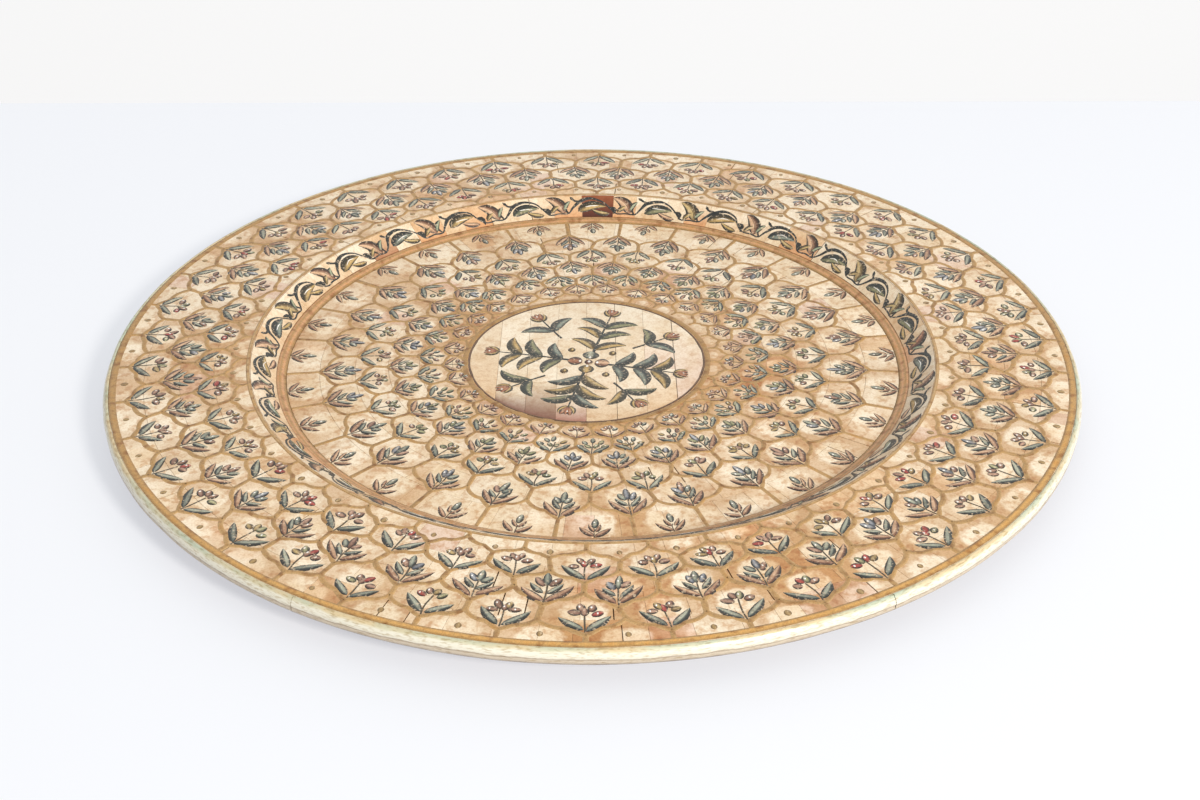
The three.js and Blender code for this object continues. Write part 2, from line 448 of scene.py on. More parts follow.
def bone_material(name, lattice=None, stain=1.0):
    """Polished bone: the tile's own tint, clouded and grained, stained here and there, and with
    the wash of a lattice. The colour attribute's alpha adds grime."""
    made, shader, add, where = material(name)
    paint = add("ShaderNodeAttribute", attribute_name="paint")
    clouds = noise(add, where, 60, 5)
    grain = noise(add, where, 900, 3, (1, 1, 0.3))
    colour = shaded(add, paint.outputs["Color"], 1.0, clouds,
                    [(0.3, srgb(240, 228, 210)), (0.56, srgb(255, 254, 252))])
    colour = shaded(add, colour, 0.7, grain, [(0.3, srgb(230, 218, 204)), (0.6, WHOLE)])
    colour = shaded(add, colour, 0.8 * stain, noise(add, where, 240, 5),
                    [(0.34, srgb(226, 198, 170)), (0.5, srgb(255, 253, 248)),
                     (0.66, srgb(255, 250, 246))])
    colour = shaded(add, colour, stain, noise(add, where, 13, 6),
                    [(0.62, WHOLE), (0.72, srgb(244, 218, 192)), (0.84, srgb(214, 168, 136))])
    if lattice:
        colour = mixed(add, "MULTIPLY", lattice_wash(add, where, lattice), colour, WASH)
    colour = mixed(add, "MIX", paint.outputs["Alpha"], colour, GRIME)
    finish_surface(add, shader, colour, (clouds, 0.24, 0.42), grain, 0.05, 0.4)
    return made


def paint_material(name, low, high):
    """Brushed paint over the colour attribute, between two roughnesses, worn in flecks."""
    made, shader, add, where = material(name)
    paint = add("ShaderNodeAttribute", attribute_name="paint").outputs["Color"]
    bristles = noise(add, where, 1500, 3, (1, 0.35, 1))
    dabs = noise(add, where, 260, 4)
    colour = shaded(add, paint, 1.0, bristles, [(0.28, grey(0.7)), (0.5, WHOLE)])
    colour = shaded(add, colour, 0.7, dabs, [(0.34, srgb(212, 198, 184)), (0.5, WHOLE)])
    worn = remap(add, noise(add, where, 620, 4), 0.56, 0.68, 0.0, 0.6)
    colour = mixed(add, "MIX", worn, colour, srgb(222, 198, 166))
    finish_surface(add, shader, colour, (dabs, low, high), bristles, 0.08)
    return made


def gilt_material(name, metallic, low, high):
    """Dull gold paint over the colour attribute, rubbed thin in spots."""
    made, shader, add, where = material(name)
    paint = add("ShaderNodeAttribute", attribute_name="paint").outputs["Color"]
    rubbed = noise(add, where, 170, 6)
    flecks = noise(add, where, 1200, 3)
    colour = shaded(add, paint, 1.0, rubbed,
                    [(0.32, srgb(206, 184, 160)), (0.5, WHOLE), (0.72, srgb(255, 240, 214))])
    colour = shaded(add, colour, 0.8, flecks, [(0.3, grey(0.66)), (0.6, WHOLE)])
    shader.inputs["Metallic"].default_value = metallic
    finish_surface(add, shader, colour, (rubbed, low, high), flecks, 0.08)
    return made


# How far the bands of the binding's paint wander up and down, in millimetres
BAND_WANDER = 1.4


def binding_material():
    """Rubbed pale paint on the rounded edge, changing with height: cream over the round, and grey-green
    and ochre at its inner lip. Below the groove it turns taupe, darkest at the very bottom, and a dark
    line runs in the groove. This darkening is partly the paint's own taupe and partly painted shade,
    where the round turns under and in the groove."""
    made, shader, add, where = material("edge_paint_and_shade")
    height = add("ShaderNodeSeparateXYZ", {"Vector": where}).outputs["Z"]
    worn = noise(add, where, 90, 6)
    streaks = noise(add, where, 260, 4, (1, 1, 6))
    shifted = calc(add, "MULTIPLY_ADD", worn, 2 * BAND_WANDER * MM, height)
    level = remap(add, shifted, (EDGE_LOW + BAND_WANDER) * MM, (RIM_TOP + BAND_WANDER) * MM)
    # The dark stops low down and in the groove are partly painted shade of the edge's underside and of
    # its groove.
    paint_and_shade_bands = ramp(add, level, [
        (0.0, srgb(112, 94, 80)), (0.12, srgb(124, 106, 90)), (0.2, srgb(176, 160, 140)),
        (0.42, srgb(196, 182, 160)), (0.5, srgb(156, 136, 114)), (0.57, srgb(216, 209, 190)),
        (0.86, srgb(222, 216, 197)), (0.94, srgb(216, 206, 176))])
    lip = ramp(add, noise(add, where, 24, 4), [(0.42, srgb(208, 188, 148)), (0.6, srgb(186, 192, 168))])
    paint_and_shade_bands = mixed(add, "MIX", remap(add, level, 0.84, 0.98), paint_and_shade_bands, lip)
    colour = shaded(add, paint_and_shade_bands, 0.9, streaks, [(0.34, srgb(216, 204, 184)), (0.5, WHOLE)])
    finish_surface(add, shader, colour, (worn, 0.22, 0.42), streaks, 0.12, 0.4)
    return made


def wood_material():
    """Turned hardwood with straight grain along X and faint turning rings."""
    made, shader, add, where = material("turned_wood")
    grain = noise(add, where, 60, 8, (0.12, 1.6, 1.0))
    pores = noise(add, where, 700, 3, (0.08, 1, 1))
    length = add("ShaderNodeVectorMath", {0: where}, operation="LENGTH").outputs["Value"]
    lathe = calc(add, "SINE", calc(add, "MULTIPLY", length, 2600.0))
    colour = ramp(add, grain, [(0.28, srgb(84, 52, 32)), (0.5, srgb(134, 88, 54)),
                               (0.72, srgb(166, 116, 74))])
    colour = shaded(add, colour, 0.7, pores, [(0.36, grey(0.42)), (0.5, WHOLE)])
    finish_surface(add, shader, colour, (pores, 0.62, 0.46), lathe, 0.04, 0.25)
    return made


# -------- bone tiles

TILE_THICK = 1.5
TILE_BEVEL = 0.14
# How much grime lies in the joints, on the tiles' sides
JOINT_GRIME = 0.4


def tile(layer, place, low, high, tint, low_tint=None):
    """A tile between two long edges, given station by station, with eased upper edges. The first
    and last stations are its short edges. low_tint is its colour along the low edge."""
    low, high = np.asarray(low, float), np.asarray(high, float)
    across = high - low
    across /= np.maximum(np.hypot(across[:, 0], across[:, 1]), 1e-6)[:, None]
    ease = across * TILE_BEVEL
    plan = np.stack([low, low, low + ease, high - ease, high, high], 1)
    heights = np.array([-TILE_THICK, -TILE_BEVEL, 0, 0, -TILE_BEVEL, -TILE_THICK])
    levels = np.broadcast_to(heights, plan.shape[:2]).copy()
    levels[0, 2:4] = -TILE_BEVEL
    levels[-1, 2:4] = -TILE_BEVEL
    tints = np.broadcast_to(tinted(tint), plan.shape[:2] + (4,)).copy()
    if low_tint is not None:
        tints[:, :3] = tinted(low_tint)
    tints[levels < 0, 3] = JOINT_GRIME
    layer.add(place(np.concatenate([plan, levels[..., None]], -1)), tints)


def stations(start, end, ease, steps):
    """Values from start to end, with an extra one close inside each end."""
    inner = np.linspace(start + ease, end - ease, steps)
    return np.concatenate([[start], inner, [end]])


def mostly(rng, choices):
    """Picks a colour by its share, then varies how light it is."""
    colours, shares = zip(*choices)
    shares = np.array(shares) / sum(shares)
    picked = colours[rng.choice(len(colours), p=shares)]
    return np.clip(picked * rng.uniform(0.94, 1.02), 0, 1)


OPEN_SHARE = 0.12
OPEN_JOINT = (0.18, 0.32)
TIGHT_JOINT = (0.01, 0.04)


def joint(rng):
    """Half the width of a joint: most are tight, and some have opened."""
    return rng.uniform(*(OPEN_JOINT if rng.random() < OPEN_SHARE else TIGHT_JOINT))


FIELD_TINTS = [(PALE, 9), (CREAM, 6), (TAN, 0.6), (PINK, 1.0)]
WALL_TINTS = [(PALE, 8), (CREAM, 4), (TAN, 1.2)]
WALL_FOOT_TINTS = [(CREAM, 4), (TAN, 5), (ORANGE, 2)]
WALL_TILE_COUNT = 62
# Wall tiles whose stain stands out: the angle each one is at, in degrees, and its colour
WALL_STAINS = [(48, ORANGE), (85, ORANGE), (91, DEEP), (97, ORANGE), (112, ORANGE), (124, ORANGE),
               (136, UMBER), (215, ORANGE), (304, UMBER)]


def ring_rows(rng, inner, outer, counts):
    """Plans rows of tiles round a level field: each tile's first and last angle, and its inner and
    outer radius."""
    rows = len(counts)
    edges = inner + (outer - inner) * np.linspace(0, 1, rows + 1)
    edges[1:-1] += rng.uniform(-1.2, 1.2, rows - 1)
    plan = []
    for row, number in enumerate(counts):
        cuts = (np.arange(number) + 0.5 * (row % 2) + rng.uniform(-0.22, 0.22, number)) / number
        cuts = np.sort(cuts) * TURN
        gaps = [joint(rng) for _ in range(number)]
        seam = joint(rng)
        for i in range(number):
            start = cuts[i] + gaps[i] / edges[row]
            following = cuts[(i + 1) % number] + (TURN if i == number - 1 else 0)
            end = following - gaps[(i + 1) % number] / edges[row]
            plan.append((start, end, edges[row] + (seam if row else 0), edges[row + 1] - 0.05))
    return plan


def level_tiles(name, nodes, inner, outer, counts, top, bone, seed):
    """A level field of tiles, one piece for each CAD sector that it replaces."""
    rng = np.random.default_rng(seed)
    pitch = TURN / len(nodes)
    layers = [Layer() for _ in nodes]
    place = flat(top)
    for start, end, near, far in ring_rows(rng, inner, outer, counts):
        angle = stations(start, end, TILE_BEVEL / near, 4)
        near = np.maximum(near, medallion_edge(angle) + 0.3)
        rays = np.stack([np.cos(angle), np.sin(angle)], -1)
        tint = mostly(rng, FIELD_TINTS)
        owner = int(((start + end) / 2 % TURN) / pitch)
        tile(layers[owner], place, rays * np.reshape(near, (-1, 1)), rays * far, tint)
    for i, (layer, node) in enumerate(zip(layers, nodes)):
        layer.build(f"{name}_{i + 1:02d}", bone, "bone_veneer", [node], sharp=20)


def medallion_edge(angle):
    """Distance from the tray's axis to the medallion's edge."""
    towards = MEDALLION_X * np.cos(angle) + MEDALLION_Y * np.sin(angle)
    square = MEDALLION_X ** 2 + MEDALLION_Y ** 2
    return towards + np.sqrt(towards ** 2 - square + MEDALLION_R ** 2)


def wall_tiles():
    """Tiles round the sloping wall, darker at its foot, with a few strong stains."""
    rng = np.random.default_rng(31)
    layers = [Layer() for _ in WALL_NODES]
    pitch = TURN / len(WALL_NODES)
    number = WALL_TILE_COUNT
    cuts = np.sort((np.arange(number) + rng.uniform(-0.3, 0.3, number)) / number) * TURN
    middle = (WALL_IN + RIM_IN) / 2
    for i in range(number):
        following = cuts[(i + 1) % number] + (TURN if i == number - 1 else 0)
        gap = joint(rng) / middle
        centre = (cuts[i] + following) / 2
        half = ((following - cuts[i]) / 2 - gap) * middle
        x = -stations(-half, half, TILE_BEVEL, 4)
        low = np.stack([x, np.full_like(x, 0.1)], -1)
        high = np.stack([x, np.full_like(x, WALL_LENGTH - 0.35)], -1)
        owner = int((centre % TURN) / pitch)
        tint, low_tint = mostly(rng, WALL_TINTS), mostly(rng, WALL_FOOT_TINTS)
        for degrees, stained in WALL_STAINS:
            if cuts[i] <= math.radians(degrees) < following:
                low_tint = stained
                tint = SIENNA if stained is DEEP else TAN
        tile(layers[owner], on_wall(centre), low, high, tint, low_tint)
    for layer, node in zip(layers, WALL_NODES):
        layer.build(node.replace("veneer", "tiles"), PLAIN_BONE, "bone_veneer", [node], sharp=20)


def medallion_tiles():
    """Straight strips across the medallion. All but the outer two are cut twice, lower in every
    other strip. Near edges are rosy at the front and the right, and dark in three front tiles."""
    rng = np.random.default_rng(41)
    place = flat(FLOOR_TOP, MEDALLION_X, MEDALLION_Y)
    number = len(STRIP_NODES)
    width = 2 * MEDALLION_R / number
    most = [(PALE, 9), (CREAM, 3)]
    rosy = [(PINK, 2), (TAN, 2)]
    dark = [(PLUM, 3), (RUSSET[0], 2)]
    for i, node in enumerate(STRIP_NODES):
        layer = Layer()
        left = -MEDALLION_R + i * width + joint(rng) + (0.3 if i == 0 else 0)
        right = -MEDALLION_R + (i + 1) * width - joint(rng) - (0.3 if i == number - 1 else 0)
        x = stations(left, right, TILE_BEVEL, 5)[::-1]
        reach = np.sqrt(np.maximum(MEDALLION_R ** 2 - x * x, 0.5))
        if i in (0, number - 1):
            cuts = [-MEDALLION_R, MEDALLION_R]
        else:
            first = rng.uniform(-0.85, -0.65) if i in (1, 3, 5) else rng.uniform(-0.5, -0.2)
            cuts = [-MEDALLION_R, first * reach.min(), (first + 1.0) * reach.min(), MEDALLION_R]
        for low, high in zip(cuts[:-1], cuts[1:]):
            near = np.maximum(low + 0.12, -reach)
            far = np.minimum(high - 0.12, reach)
            front = low == -MEDALLION_R
            shade = dark if front and i in (1, 2, 3) else rosy if front or (i > 5 and low < 0) else most
            tile(layer, place, np.stack([x, near], -1), np.stack([x, far], -1),
                 mostly(rng, most), mostly(rng, shade))
        layer.build(node.replace("strip", "tiles"), PLAIN_BONE, "bone_veneer", [node], sharp=20)


# -------- the gilt trellis

# How far up a cell, in row values, its two arms reach; and the bend of an arm, from the cell's
# base to its side, as shares of its run across and of its rise
ARM = 0.55
OGEE = np.array([(0, 0), (0.16, 0.16), (0.36, 0.42), (0.50, 0.44), (0.72, 0.56), (0.92, 0.80), (1, 1)])


class Lattice:
    """Staggered rows of ogee cells round a level field. u counts cells round the field, v counts
    rows inwards, and each row's radius is the last one's times ratio, so cells keep their shape."""

    def __init__(self, count, rows, first_radius, ratio, phase, top, inner_wash, seed):
        self.count, self.rows, self.first, self.ratio = count, rows, first_radius, ratio
        self.phase, self.top, self.inner_wash = phase, top, inner_wash
        rng = np.random.default_rng(seed)
        self.wander = rng.normal(0, 1, (rows + 2, count, 2, 2)) * (0.035, 0.05)

    def polar(self, u, v):
        """The radius and the angle of a point."""
        return self.first * self.ratio ** v, (u + self.phase) * TURN / self.count

    def plan(self, u, v):
        """The flat place of a point, held outside the medallion."""
        radius, angle = self.polar(u, v)
        radius = np.maximum(radius, medallion_edge(angle) + 1.2)
        return np.stack([radius * np.cos(angle), radius * np.sin(angle)], -1)

    def base(self, row, cell):
        """The outer point of a cell, where two arms part."""
        du, dv = self.wander[row, cell % self.count, 0]
        return cell + 0.5 * (row % 2) + du, row + dv

    def side(self, row, cell):
        """The outer end of the stem between a cell and the next one in its row."""
        du, dv = self.wander[row, cell % self.count, 1]
        return cell + 0.5 * (row % 2) + 0.5 + du, row + ARM + dv

    def arm(self, row, cell, left):
        """From a cell's base to one of its sides, along an ogee."""
        u, v = self.base(row, cell)
        su, sv = self.side(row, cell - 1 if left else cell)
        bend = curve(OGEE, 13)
        return self.plan(u + (su - u) * bend[:, 0], v + (sv - v) * bend[:, 1])

    def stem(self, row, cell):
        """From a cell's side to the base of the cell above it."""
        u, v = self.side(row, cell)
        bu, bv = self.base(row + 1, cell + row % 2)
        t = np.linspace(0, 1, 5)
        return self.plan(u + (bu - u) * t, v + (bv - v) * t)

    def radial(self, u, v, end):
        """From a point straight in or out to the row value end."""
        t = np.linspace(0, 1, 4)
        return self.plan(u + 0 * t, v + (end - v) * t)


def gilt_line(layer, rng, path, width, top):
    """One brushed line of the trellis, swelling and thinning as a hand draws it."""
    swell = np.interp(np.linspace(0, 1, len(path)), np.linspace(0, 1, 5), rng.uniform(0.82, 1.18, 5))
    shade = rng.uniform(0.9, 1.06)
    inks = (GILT_EDGE * shade, GILT * shade, GILT * shade * 1.04)
    stroke(layer, path, width / 2 * swell, LINE_SECTION, inks, flat(top))


def trellis(name, lattice, sectors, widths, outer, inner, seed):
    """The trellis of one field, in as many pieces as sectors. outer and inner are the row values
    at which the field ends, and widths the line widths at its two ends."""
    rng = np.random.default_rng(seed)
    per = lattice.count // sectors
    for sector in range(sectors):
        layer = Layer()
        for cell in range(sector * per, (sector + 1) * per):
            u, v = lattice.base(0, cell)
            gilt_line(layer, rng, lattice.radial(u, v, outer), widths[0], lattice.top)
            for row in range(lattice.rows + 1):
                width = widths[0] + (widths[1] - widths[0]) * row / lattice.rows
                for left in (True, False):
                    gilt_line(layer, rng, lattice.arm(row, cell, left), width, lattice.top)
                if row < lattice.rows:
                    gilt_line(layer, rng, lattice.stem(row, cell), width * 1.05, lattice.top)
                else:
                    u, v = lattice.side(row, cell)
                    gilt_line(layer, rng, lattice.radial(u, v, inner), width, lattice.top)
        layer.build(f"{name}_{sector + 1:02d}", GILT_LINES, "gilt_bead")


# -------- the painted plants

# The width and height in millimetres at which a plant is drawn before it is stretched
PLANT_DRAWN = (26, 22)
# How far the hand strays from a drawn point, in millimetres
TREMBLE = 0.4


def drawn(rng, x, y, stretch):
    """A drawn point, moved a little by the hand and then stretched."""
    return (np.array([x, y]) + rng.normal(0, TREMBLE, 2)) * stretch


# The buds of a cluster: each one's heading in degrees, and how far out it starts and ends
FIVE_BERRIES = [*((degrees, 2.8, 8.6) for degrees in (-78, -27, 27, 78)), (0, 0.0, 5.4)]
FOUR_BERRIES = [(degrees, 2.8, 8.6) for degrees in (-62, -20, 20, 62)]
FAN = [(-36, 2.6, 9.6), (36, 2.6, 9.6), (0, 2.6, 11.8)]
LEAFY = [(-34, 2.0, 7.6), (34, 2.0, 7.6), (-66, 7.0, 13.0), (-33, 8.0, 14.4), (0, 8.4, 15.4),
         (33, 8.0, 14.4), (66, 7.0, 13.0)]


def plant(layer, rng, place, size, leaves, fruit, kind):
    """A small plant, size wide and high: a stem, a spread pair of leaves, and above them a cluster
    of berries, a fan of buds, two rings of narrow buds, or one bud."""
    stretch = np.array(size) / PLANT_DRAWN
    scale = math.sqrt(stretch[0] * stretch[1])
    lean = rng.uniform(-0.08, 0.08)

    def at(x, y):
        return drawn(rng, x + lean * y, y, stretch)

    def ray(height, degrees, reach):
        angle = math.radians(degrees + rng.uniform(-6, 6))
        return at(reach * math.sin(angle), height + reach * math.cos(angle))

    def inks(pair):
        depth = rng.uniform(0.45, 1.0)
        return INK, pair[0], pair[0] + (pair[1] - pair[0]) * depth

    def sepals(foot, height, degrees, width, pair, bend):
        for side in (-1, 1):
            leaf(layer, place, at(side * foot, 6.0), ray(height, side * degrees, 9.0), width * scale,
                 inks(pair), bend=side * bend, steps=7)

    def cluster(height, rays, widths, glossy):
        for degrees, near, far in rays:
            pair = inks(fruit[rng.integers(len(fruit))])
            ends = ray(height, degrees, near), ray(height, degrees, far)
            width = rng.uniform(*widths) if len(widths) > 1 else widths[0]
            bud(layer, place, *ends, width * scale, pair, shine=rng.random() < glossy)

    stem = curve([at(0, -0.8), at(0, 5.5), at(0, 9 if kind == "single" else 14)], 6)
    stroke(layer, stem, 0.5 * scale, LINE_SECTION, (SOFT_INK, SOFT_INK, OLIVE[0]), place, 0.5)
    for side in (-1, 1):
        tip = at(side * 12.6 * rng.uniform(0.9, 1.06), 12.0 * rng.uniform(0.86, 1.12))
        leaf(layer, place, at(side * 0.7, 0.6), tip, rng.uniform(5.2, 6.2) * scale, inks(leaves),
             bend=side * rng.uniform(0.02, 0.07))
    if kind == "berries":
        cluster(11.6, FIVE_BERRIES if rng.random() < 0.7 else FOUR_BERRIES, (4.6, 5.5), 0.7)
    elif kind == "fan":
        sepals(0.7, 9.5, 62, 4.0, fruit[0], 0.06)
        cluster(9.5, FAN, (4.6, 5.6), 0.6)
    elif kind == "leafy":
        cluster(5.4, LEAFY, (4.6,), 0.3)
    else:
        sepals(0.5, 8, 38, 3.8, fruit[-1], 0.05)
        bud(layer, place, at(0, 10.5), at(0, 21.5), 6.6 * scale, inks(fruit[0]))


# For each row, from the outermost: a plant's width and height, its leaf colours, its fruit colours
# and its kind
RIM_ROWS = [
    ((28, 23), SLATE, [BERRY, BERRY, BERRY, BERRY, BERRY, RED, OLIVE, GREEN], "berries"),
    ((27, 23), RUSSET, [SLATE, BERRY, BLUE, SLATE], "fan"),
    ((27, 21.5), SLATE, [BERRY, BERRY, BERRY, BERRY, BERRY, OLIVE, RED], "berries"),
]
FLOOR_ROWS = [
    ((23, 25), RUSSET, [SLATE, BLUE, BERRY], "fan"),
    ((23.5, 21.5), SLATE, [OLIVE, BERRY, GREEN], "berries"),
    ((22.5, 19.5), RUSSET, [SLATE, BLUE, GREEN], "fan"),
    ((21.5, 17), SLATE, [GREEN, SLATE, OLIVE, BERRY], "leafy"),
    ((18, 15), RUSSET, [BERRY, BERRY, SLATE, RUSSET], "berries"),
]


def plants(name, lattice, sectors, rows, root, seed):
    """One plant in each full cell, root row values above the cell's base."""
    rng = np.random.default_rng(seed)
    per = lattice.count // sectors
    for sector in range(sectors):
        layer = Layer()
        for row, (size, leaves, fruit, kind) in enumerate(rows):
            for cell in range(sector * per, (sector + 1) * per):
                u, v = lattice.base(row, cell)
                radius, angle = lattice.polar(u, v + root)
                place = facing_in(lattice.top, radius, angle)
                grown = np.array(size) * rng.uniform(0.93, 1.03)
                plant(layer, rng, place, grown, leaves, fruit, kind)
        half_cells(layer, rng, lattice, sector, per)
        layer.build(f"{name}_{sector + 1:02d}", PAINT, "bone_veneer")


def half_cells(layer, rng, lattice, sector, per):
    """What fills the half cells along the two borders: dots on the rim, and on the floor a small
    plant with its root at the wall's foot."""
    for cell in range(sector * per, (sector + 1) * per):
        u, _ = lattice.base(0, cell)
        if lattice is RIM:
            for beside, row in ((u + 0.5, -0.02), (lattice.base(3, cell)[0], 3.32)):
                radius, angle = lattice.polar(beside, row)
                dot(layer, facing_in(lattice.top, radius, angle), (0, 0), rng.uniform(3.4, 4.6), SEED)
        else:
            _, angle = lattice.polar(u + 0.5, 0)
            place = facing_in(lattice.top, BEAD_IN - 0.6, angle)
            plant(layer, rng, place, (18, 17), RUSSET, [SLATE, RUSSET], "single")


# -------- the wall's scroll

SCROLL_REPEATS = 26
# The length and height in millimetres at which a repeat is drawn before it is stretched
SCROLL_DRAWN = (49.0, 19.0)
# The ends of the vine in a repeat, where it joins the next one
VINE_END = (24.5, 3.2)


def scroll():
    """A running vine: a hooked crest over an eye-shaped leaf, then a hollow with a tilted leaf."""
    rng = np.random.default_rng(53)
    length = TURN * (WALL_IN + RIM_IN) / 2 / SCROLL_REPEATS
    layers = [Layer() for _ in WALL_NODES]
    line = (INK, INK, NIGHT[0])
    for i in range(SCROLL_REPEATS):
        angle = (i + 0.5) * TURN / SCROLL_REPEATS
        layer = layers[int(angle / TURN * len(WALL_NODES))]
        place = on_wall(angle)
        stretch = (length / SCROLL_DRAWN[0], WALL_LENGTH / SCROLL_DRAWN[1])

        def at(x, y):
            return drawn(rng, x, y, stretch)

        def tendril(points, widths, fade):
            path = curve([at(*p) for p in points], len(widths))
            stroke(layer, path, np.array(widths), LINE_SECTION, line, place, fade)

        # the vine, from one hollow over the crest to the next
        last = np.array(VINE_END) * stretch
        vine = curve([last * (-1, 1), at(-18, 3.0), at(-14, 7.2), at(-9, 13.2), at(-1, 16.0),
                      at(7, 13.4), at(12.5, 7.6), at(17.5, 3.0), last], 30)
        swell = 0.7 + 0.95 * np.exp(-((np.linspace(-VINE_END[0], VINE_END[0], 30) + 5) / 7) ** 2)
        stroke(layer, vine, swell, LINE_SECTION, line, place, 0.5)
        # the eye-shaped leaf under the crest, with darker strokes and a glint in it
        fill = (NIGHT, MOSS, TEAL, OCHRE)[rng.integers(4)]
        under = (OCHRE, OLIVE, RUSSET)[rng.integers(3)]
        leaf(layer, place, at(12.5, 2.6), at(-1.0, 6.6), 4.6, (INK, *under), bend=-0.1, steps=9)
        leaf(layer, place, at(-10.5, 4.4), at(10.0, 8.8), 8.6, (INK, *fill), bend=-0.13, steps=13,
             section=CRESCENT_SECTION)
        glint = curve([at(-5, 8.2), at(0, 9.4), at(4.5, 8.4)], 6)
        stroke(layer, glint, np.array([0.2, 0.45, 0.6, 0.6, 0.4, 0.2]), LINE_SECTION,
               (fill[1], WHITE[0], WHITE[1]), place, lift=0.34)
        # the tilted leaf over the hollow and a smaller one each side of it
        small = (OLIVE, RUSSET, RUSSET, BUD)[rng.integers(4)]
        leaf(layer, place, at(27.5, 3.2), at(15.0, 17.4), 10.4, (INK, *small), bend=0.16, rib=0.6,
             steps=11)
        leaf(layer, place, at(18.0, 3.6), at(27.5, 10.6), 4.4, (INK, *OLIVE), bend=-0.12, rib=0.4)
        leaf(layer, place, at(27.5, 4.6), at(33.0, 13.2), 4.6, (INK, *TEAL), bend=-0.12)
        # the hook over the crest, and the thorns at its two feet
        hook = [0.6, 1.1, 1.0, 0.9, 1.0, 1.3, 0.4]
        tendril([(-8.5, 13.4), (-12.4, 14.0), (-15.6, 17.2)], hook, 0.3)
        tendril([(11.6, 8.6), (15.8, 7.0), (16.6, 2.2)], [0.6, 1.3, 1.9, 2.1, 1.5, 0.4], 0.2)
        tendril([(-17.6, 3.2), (-19.6, 6.6), (-18.0, 10.4)], [0.6, 0.9, 0.9, 0.8, 0.6, 0.3], 0.3)
    for layer, node in zip(layers, WALL_NODES):
        layer.build(node.replace("veneer", "scroll"), PAINT, "bone_veneer")


# -------- the medallion's sprigs

# The sprigs' headings, in degrees, long and short in turn
SPRIG_HEADINGS = (76, 31, -14, -58, -103, -149, 167, 120)
# The flower's place from the medallion's middle, in millimetres, and how far it is turned
FLOWER_SHIFT = (1.3, -4.6)
PETAL_TURN = math.radians(-10)
# How far out the sprigs' buds stand, as a share of the room to the medallion's edge
BUD_REACH = 0.835
SPRIG_SHADES = (NIGHT, MOSS, OLIVE, OCHRE)


def medallion_painting():
    """Eight sprigs round a flower that stands a little off the medallion's middle."""
    rng = np.random.default_rng(67)
    centre_x, centre_y = MEDALLION_X + FLOWER_SHIFT[0], MEDALLION_Y + FLOWER_SHIFT[1]
    for i, degrees in enumerate(SPRIG_HEADINGS):
        heading = math.radians(degrees)
        layer = Layer()
        place = flat(FLOOR_TOP, centre_x, centre_y, heading - math.pi / 2)
        towards = FLOWER_SHIFT[0] * math.cos(heading) + FLOWER_SHIFT[1] * math.sin(heading)
        offset = FLOWER_SHIFT[0] ** 2 + FLOWER_SHIFT[1] ** 2
        room = -towards + math.sqrt(towards ** 2 - offset + MEDALLION_R ** 2)
        sprig = long_sprig if i % 2 == 0 else short_sprig
        sprig(layer, rng, place, room)
        layer.build(f"medallion_sprig_{i + 1}", PAINT, "bone_veneer")
    flower(rng, flat(FLOOR_TOP, centre_x, centre_y, PETAL_TURN))


def sprig_bud(layer, rng, place, y):
    """A brown bud of three petals, held by two ochre sepals."""
    for side in (-1, 1):
        leaf(layer, place, (0, y - 5.0), (side * 5.0, y + 3.4), 3.4, (SOFT_INK, *OCHRE),
             bend=side * 0.16)
    for lean in (-3.0, 3.0, 0.0):
        top = y + (5.2 if lean == 0 else 4.4) + rng.uniform(-0.8, 0.8)
        bud(layer, place, (lean * 0.2, y - 3.6), (lean, top), 4.8, (SOFT_INK, *BUD),
            shine=lean == 0, steps=9)


def crescent(layer, rng, place, root, tip, width, shares):
    """A curved leaf of a sprig, arched towards the sprig's end. shares sets how likely each of
    the sprigs' shades is."""
    colours = SPRIG_SHADES[rng.choice(len(SPRIG_SHADES), p=shares)]
    side = math.copysign(1, tip[0] - root[0])
    leaf(layer, place, root, tip, width, (SOFT_INK, *colours), bend=-side * rng.uniform(0.15, 0.23),
         fullness=0.8, steps=15, rib=0.6, section=CRESCENT_SECTION)


def long_sprig(layer, rng, place, room):
    """A stem with three pairs of curved leaves and a bud."""
    reach = room * BUD_REACH
    stem = curve([(0, 12.5), (rng.uniform(-1, 1), reach * 0.5), (0, reach - 4)], 12)
    stroke(layer, stem, np.linspace(1.25, 0.55, 12), LINE_SECTION, (INK, INK, SLATE[0]), place, 0.5)
    step = (reach - 17) / 3.5
    for pair in range(3):
        root = 16.5 + pair * step
        for side in (-1, 1):
            size = rng.uniform(0.92, 1.08)
            tip = (side * 19.5 * size, root + rng.uniform(8.5, 12.5) * size)
            base = (side * 0.6, root + rng.uniform(-1.0, 1.0))
            crescent(layer, rng, place, base, tip, 9.2 * size, (0.3, 0.25, 0.1, 0.35))
    sprig_bud(layer, rng, place, reach)


def short_sprig(layer, rng, place, room):
    """One pair of leaves and a bud, standing free between two long sprigs."""
    root = room * 0.57
    tip = room * BUD_REACH
    stem = curve([(0, root - 10), (0, root), (rng.uniform(-1, 1), tip - 3)], 8)
    stroke(layer, stem, np.linspace(1.0, 0.6, 8), LINE_SECTION, (INK, INK, SLATE[0]), place, 0.4)
    for side in (-1, 1):
        size = rng.uniform(0.92, 1.1)
        end = (side * 18.5 * size, root + 9.5 * size)
        crescent(layer, rng, place, (side * 0.6, root), end, 8.6 * size, (0.45, 0.35, 0.0, 0.2))
    sprig_bud(layer, rng, place, tip)


